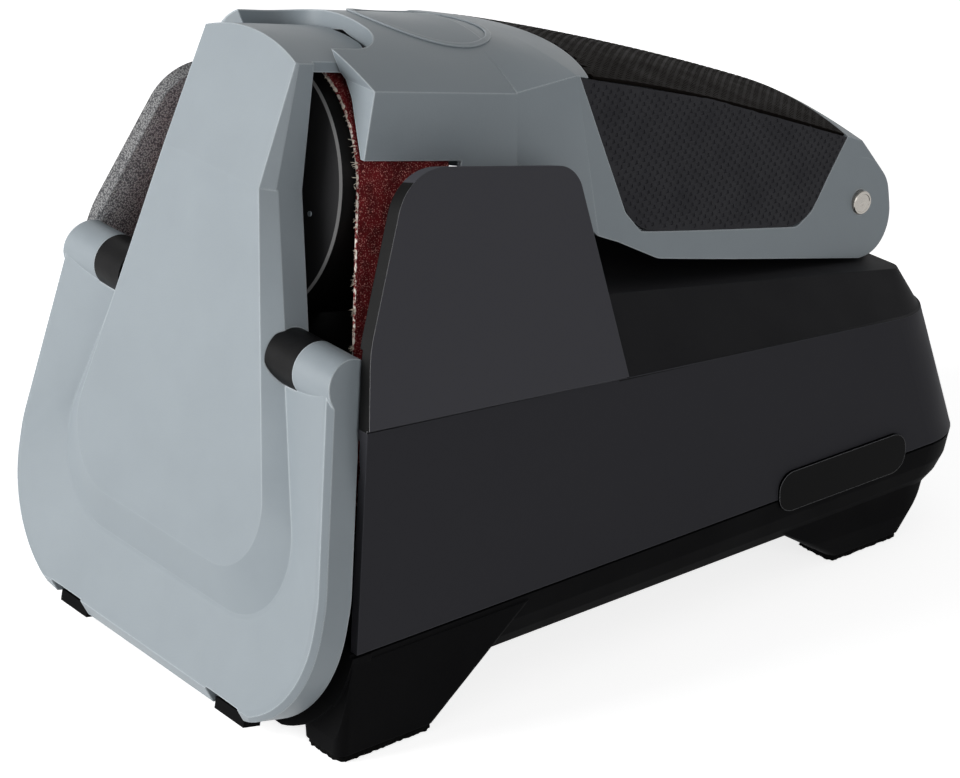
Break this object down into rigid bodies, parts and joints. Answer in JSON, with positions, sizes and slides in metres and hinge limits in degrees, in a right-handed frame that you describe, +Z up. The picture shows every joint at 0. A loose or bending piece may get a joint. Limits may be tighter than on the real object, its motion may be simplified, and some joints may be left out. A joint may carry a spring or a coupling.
{
  "type": "belt knife sharpener",
  "caption": "Electric abrasive-belt sharpener for kitchen knives: leaning tower cover, guide plates beside the belt, hinged hood with soft grips, housing on rubber feet.",
  "frame": {"origin": "centre of the bounding box on the floor under the rubber foot pads", "axes": "+X right seen from the front, the tower cover faces -Y, +Z up"},
  "size_m": [0.1252, 0.2103, 0.1486],
  "materials": {
    "cover_grey": "satin",
    "housing_black": "fine texture",
    "plate_black": "matte",
    "grip_side": "dimpled",
    "grip_top": "fine ribs",
    "rest_rubber": "satin",
    "pad_rubber": "textured",
    "badge_gloss": "gloss",
    "belt_cloth": "abrasive grain",
    "pulley_black": "satin",
    "polished_steel": "polished",
    "steel": "turned",
    "frame_metal": "powder coat",
    "motor_metal": "drawn",
    "board_green": "solder mask",
    "button_grey": "satin",
    "brass": "plain"
  },
  "bodies": {
    "base": {"cover_hinge_pins": "steel", "body_housing": "housing_black", "base_tray": "housing_black", "base_screws": "steel", "side_badge_right": "badge_gloss", "side_badge_left": "badge_gloss", "guide_plate_right": "plate_black", "guide_plate_left": "plate_black", "rear_rest_right": "rest_rubber", "rear_rest_left": "rest_rubber", "hood_hinge_pin": "polished_steel", "abrasive_belt": "belt_cloth", "upper_axle": "steel", "drive_frame": "frame_metal", "frame_screws": "steel", "drive_bearing": "steel", "motor_housing": "motor_metal", "motor_end_cap": "pulley_black", "tension_guide_screws": "steel", "tension_spring": "steel", "button_bezel": "badge_gloss", "control_board": "board_green", "button_switches": "pulley_black", "power_inlet": "pulley_black", "inlet_prongs": "brass", "foot_pad_front_right": "pad_rubber", "foot_pad_front_left": "pad_rubber", "foot_pad_rear_right": "pad_rubber", "foot_pad_rear_left": "pad_rubber"},
    "hood": {"hood_shell": "cover_grey", "hood_grip_right": "grip_side", "hood_grip_left": "grip_side", "hood_grip_top": "grip_top"},
    "cover": {"front_cover": "cover_grey", "blade_rest_right": "rest_rubber", "blade_rest_left": "rest_rubber"},
    "pulley": {"upper_pulley": "pulley_black", "upper_bearings": "steel"},
    "drive_shaft": {"motor_shaft": "steel", "motor_rotor": "motor_metal", "drive_roller": "pulley_black"},
    "tension_slide": {"tension_carriage": "frame_metal", "idler_axle": "steel"},
    "idler": {"idler_roller": "pulley_black"},
    "button_left": {"program_button_left": "button_grey"},
    "button_middle": {"program_button_middle": "button_grey"},
    "button_right": {"program_button_right": "button_grey"}
  },
  "joints": [
    {"name": "hood_hinge", "type": "hinge", "parent": "base", "child": "hood", "pos_m": [0, 0.0845, 0.0828], "axis": [-1, 0, 0], "range_deg": [0, 65]},
    {"name": "cover_hinge", "type": "hinge", "parent": "base", "child": "cover", "pos_m": [0, -0.09966, 0.00656], "axis": [1, 0, 0], "range_deg": [0, 30]},
    {"name": "pulley_spin", "type": "hinge", "parent": "base", "child": "pulley", "pos_m": [0, -0.06521, 0.11203], "axis": [0, 0.9767, -0.2147], "continuous": true},
    {"name": "motor_spin", "type": "hinge", "parent": "base", "child": "drive_shaft", "pos_m": [0.0336, -0.07809, 0.05343], "axis": [0, 0.9767, -0.2147], "continuous": true},
    {"name": "belt_tension", "type": "slide", "parent": "base", "child": "tension_slide", "axis": [0.5, 0.186, 0.8458], "range_m": [0, 0.0035], "stiffness_N_per_m": 900, "deforming": ["tension_spring"]},
    {"name": "idler_spin", "type": "hinge", "parent": "tension_slide", "child": "idler", "pos_m": [-0.0336, -0.07809, 0.05343], "axis": [0, 0.9767, -0.2147], "continuous": true},
    {"name": "button_left_press", "type": "slide", "parent": "base", "child": "button_left", "axis": [0, -0.95, -0.3123], "range_m": [0, 0.0015], "stiffness_N_per_m": 400},
    {"name": "button_middle_press", "type": "slide", "parent": "base", "child": "button_middle", "axis": [0, -0.95, -0.3123], "range_m": [0, 0.0015], "stiffness_N_per_m": 400},
    {"name": "button_right_press", "type": "slide", "parent": "base", "child": "button_right", "axis": [0, -0.95, -0.3123], "range_m": [0, 0.0015], "stiffness_N_per_m": 400}
  ],
  "couplings": [
    {"joint": "motor_spin", "follows": "pulley_spin", "ratio": 2.95},
    {"joint": "idler_spin", "follows": "pulley_spin", "ratio": 2.95}
  ]
}
